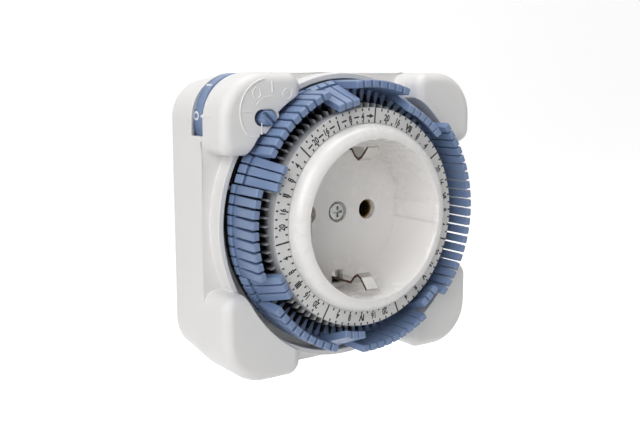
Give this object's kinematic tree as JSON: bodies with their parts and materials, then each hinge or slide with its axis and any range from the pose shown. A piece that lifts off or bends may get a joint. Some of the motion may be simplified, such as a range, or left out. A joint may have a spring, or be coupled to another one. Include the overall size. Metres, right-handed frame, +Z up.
{
  "type": "plug-in timer",
  "caption": "Plug-in seven-day mains timer: box with a wall plug behind, a recessed socket in front and a turning dial ring of flip segments around it.",
  "frame": {"origin": "on the plug's axis, in the plane of the housing's rear face", "axes": "+Z up, +X to the right seen from the front, +Y into the wall, along the plug's pins"},
  "size_m": [0.0764, 0.0733, 0.0736],
  "materials": {
    "housing": "fine satin",
    "socket": "satin",
    "scale": "satin",
    "carrier": "gloss",
    "blue_plastic": "satin",
    "dark_plastic": "matt",
    "gear_plastic": "satin",
    "steel": "plated",
    "plated_spring": "plated",
    "plated_pin": "nickel plated",
    "brass": "plain",
    "coil": "enamelled winding",
    "magnet": "sintered"
  },
  "bodies": {
    "housing": {"centre_screw": "steel", "earth_link": "brass", "earth_strip": "plated_spring", "fixed_contact": "brass", "gear_axle": "steel", "housing": "housing", "housing_screws": "steel", "line_strip": "brass", "motor_can": "steel", "motor_coil": "coil", "motor_plate": "steel", "neutral_strip": "brass", "plug_earth_strip": "plated_spring", "plug_pin_left": "plated_pin", "plug_pin_right": "plated_pin", "rear_cover": "housing", "selector_leaf": "steel", "sleeve_left": "brass", "sleeve_right": "brass", "socket_insert": "socket", "switch_base": "dark_plastic"},
    "dial_assembly": {"dial": "carrier", "scale_ring": "scale", "pivot_wire": "steel", "segments_run_1": "blue_plastic", "segments_run_2": "blue_plastic", "segments_run_3": "blue_plastic", "segments_run_4": "blue_plastic", "segments_run_5": "blue_plastic", "segments_run_6": "blue_plastic"},
    "selector": {"selector": "blue_plastic"},
    "follower": {"follower": "gear_plastic"},
    "moving_blade": {"moving_blade": "brass"},
    "compound_gear": {"compound_gear": "gear_plastic"},
    "motor_pinion": {"motor_pinion": "gear_plastic"},
    "motor_rotor": {"motor_rotor": "magnet"},
    "segment_day1_06h": {"segment_day1_06h": "blue_plastic"},
    "segment_day1_08h": {"segment_day1_08h": "blue_plastic"},
    "segment_day1_10h": {"segment_day1_10h": "blue_plastic"},
    "segment_day2_06h": {"segment_day2_06h": "blue_plastic"},
    "segment_day2_08h": {"segment_day2_08h": "blue_plastic"},
    "segment_day2_10h": {"segment_day2_10h": "blue_plastic"},
    "segment_day3_06h": {"segment_day3_06h": "blue_plastic"},
    "segment_day3_08h": {"segment_day3_08h": "blue_plastic"},
    "segment_day3_10h": {"segment_day3_10h": "blue_plastic"},
    "segment_day4_06h": {"segment_day4_06h": "blue_plastic"},
    "segment_day4_08h": {"segment_day4_08h": "blue_plastic"},
    "segment_day4_10h": {"segment_day4_10h": "blue_plastic"},
    "segment_day5_06h": {"segment_day5_06h": "blue_plastic"},
    "segment_day5_08h": {"segment_day5_08h": "blue_plastic"},
    "segment_day5_10h": {"segment_day5_10h": "blue_plastic"},
    "segment_day7_04h": {"segment_day7_04h": "blue_plastic"},
    "segment_day7_06h": {"segment_day7_06h": "blue_plastic"},
    "segment_day7_08h": {"segment_day7_08h": "blue_plastic"},
    "segment_day7_10h": {"segment_day7_10h": "blue_plastic"},
    "segment_day7_12h": {"segment_day7_12h": "blue_plastic"},
    "segment_day7_14h": {"segment_day7_14h": "blue_plastic"}
  },
  "joints": [
    {"name": "dial_turn", "type": "hinge", "parent": "housing", "child": "dial_assembly", "pos_m": [0, 0, 0], "axis": [0, -1, 0], "continuous": true},
    {"name": "selector_turn", "type": "hinge", "parent": "housing", "child": "selector", "pos_m": [-0.0265, 0, 0.0251], "axis": [0, -1, 0], "range_deg": [0, 90]},
    {"name": "follower_lift", "type": "slide", "parent": "housing", "child": "follower", "axis": [0, -1, 0], "range_m": [0, 0.0011]},
    {"name": "blade_lift", "type": "hinge", "parent": "housing", "child": "moving_blade", "pos_m": [-0.0285, -0.0057, -0.009], "axis": [-1, 0, 0], "range_deg": [0, 3.6]},
    {"name": "compound_turn", "type": "hinge", "parent": "housing", "child": "compound_gear", "pos_m": [0.0198, 0, -0.0198], "axis": [0, -1, 0], "continuous": true},
    {"name": "pinion_turn", "type": "hinge", "parent": "housing", "child": "motor_pinion", "pos_m": [0.00749, 0, -0.02197], "axis": [0, -1, 0], "continuous": true},
    {"name": "rotor_turn", "type": "hinge", "parent": "housing", "child": "motor_rotor", "pos_m": [-0.0005, 0, -0.0222], "axis": [0, -1, 0], "continuous": true},
    {"name": "flip_day1_06h", "type": "hinge", "parent": "dial_assembly", "child": "segment_day1_06h", "pos_m": [-0.00532, -0.0248, 0.0279], "axis": [-0.9823, 0, -0.1872], "range_deg": [0, 22]},
    {"name": "flip_day1_08h", "type": "hinge", "parent": "dial_assembly", "child": "segment_day1_08h", "pos_m": [-0.00739, -0.0248, 0.02742], "axis": [-0.9656, 0, -0.2601], "range_deg": [0, 22]},
    {"name": "flip_day1_10h", "type": "hinge", "parent": "dial_assembly", "child": "segment_day1_10h", "pos_m": [-0.00942, -0.0248, 0.02679], "axis": [-0.9434, 0, -0.3315], "range_deg": [0, 22]},
    {"name": "flip_day2_06h", "type": "hinge", "parent": "dial_assembly", "child": "segment_day2_06h", "pos_m": [-0.02513, -0.0248, 0.01324], "axis": [-0.4661, 0, -0.8847], "range_deg": [0, 22]},
    {"name": "flip_day2_08h", "type": "hinge", "parent": "dial_assembly", "child": "segment_day2_08h", "pos_m": [-0.02605, -0.0248, 0.01132], "axis": [-0.3987, 0, -0.9171], "range_deg": [0, 22]},
    {"name": "flip_day2_10h", "type": "hinge", "parent": "dial_assembly", "child": "segment_day2_10h", "pos_m": [-0.02682, -0.0248, 0.00934], "axis": [-0.329, 0, -0.9443], "range_deg": [0, 22]},
    {"name": "flip_day3_06h", "type": "hinge", "parent": "dial_assembly", "child": "segment_day3_06h", "pos_m": [-0.02602, -0.0248, -0.01139], "axis": [0.4011, 0, -0.916], "range_deg": [0, 22]},
    {"name": "flip_day3_08h", "type": "hinge", "parent": "dial_assembly", "child": "segment_day3_08h", "pos_m": [-0.02509, -0.0248, -0.0133], "axis": [0.4684, 0, -0.8835], "range_deg": [0, 22]},
    {"name": "flip_day3_10h", "type": "hinge", "parent": "dial_assembly", "child": "segment_day3_10h", "pos_m": [-0.02403, -0.0248, -0.01514], "axis": [0.5332, 0, -0.846], "range_deg": [0, 22]},
    {"name": "flip_day4_06h", "type": "hinge", "parent": "dial_assembly", "child": "segment_day4_06h", "pos_m": [-0.00731, -0.0248, -0.02744], "axis": [0.9663, 0, -0.2575], "range_deg": [0, 22]},
    {"name": "flip_day4_08h", "type": "hinge", "parent": "dial_assembly", "child": "segment_day4_08h", "pos_m": [-0.00524, -0.0248, -0.02791], "axis": [0.9828, 0, -0.1846], "range_deg": [0, 22]},
    {"name": "flip_day4_10h", "type": "hinge", "parent": "dial_assembly", "child": "segment_day4_10h", "pos_m": [-0.00314, -0.0248, -0.02823], "axis": [0.9939, 0, -0.1107], "range_deg": [0, 22]},
    {"name": "flip_day5_06h", "type": "hinge", "parent": "dial_assembly", "child": "segment_day5_06h", "pos_m": [0.01689, -0.0248, -0.02283], "axis": [0.8038, 0, 0.5949], "range_deg": [0, 22]},
    {"name": "flip_day5_08h", "type": "hinge", "parent": "dial_assembly", "child": "segment_day5_08h", "pos_m": [0.01855, -0.0248, -0.0215], "axis": [0.7571, 0, 0.6533], "range_deg": [0, 22]},
    {"name": "flip_day5_10h", "type": "hinge", "parent": "dial_assembly", "child": "segment_day5_10h", "pos_m": [0.02011, -0.0248, -0.02006], "axis": [0.7062, 0, 0.708], "range_deg": [0, 22]},
    {"name": "flip_day7_04h", "type": "hinge", "parent": "dial_assembly", "child": "segment_day7_04h", "pos_m": [0.02006, -0.0248, 0.02011], "axis": [-0.708, 0, 0.7062], "range_deg": [0, 22]},
    {"name": "flip_day7_06h", "type": "hinge", "parent": "dial_assembly", "child": "segment_day7_06h", "pos_m": [0.0185, -0.0248, 0.02155], "axis": [-0.7588, 0, 0.6513], "range_deg": [0, 22]},
    {"name": "flip_day7_08h", "type": "hinge", "parent": "dial_assembly", "child": "segment_day7_08h", "pos_m": [0.01683, -0.0248, 0.02287], "axis": [-0.8054, 0, 0.5928], "range_deg": [0, 22]},
    {"name": "flip_day7_10h", "type": "hinge", "parent": "dial_assembly", "child": "segment_day7_10h", "pos_m": [0.01508, -0.0248, 0.02407], "axis": [-0.8474, 0, 0.5309], "range_deg": [0, 22]},
    {"name": "flip_day7_12h", "type": "hinge", "parent": "dial_assembly", "child": "segment_day7_12h", "pos_m": [0.01324, -0.0248, 0.02513], "axis": [-0.8847, 0, 0.4661], "range_deg": [0, 22]},
    {"name": "flip_day7_14h", "type": "hinge", "parent": "dial_assembly", "child": "segment_day7_14h", "pos_m": [0.01132, -0.0248, 0.02605], "axis": [-0.9171, 0, 0.3987], "range_deg": [0, 22]}
  ],
  "couplings": [
    {"joint": "compound_turn", "follows": "dial_turn", "ratio": -8.3333},
    {"joint": "pinion_turn", "follows": "dial_turn", "ratio": 33.333},
    {"joint": "follower_lift", "follows": "selector_turn", "m_per_rad": 0.00069958},
    {"joint": "blade_lift", "follows": "selector_turn", "ratio": 0.038897}
  ]
}
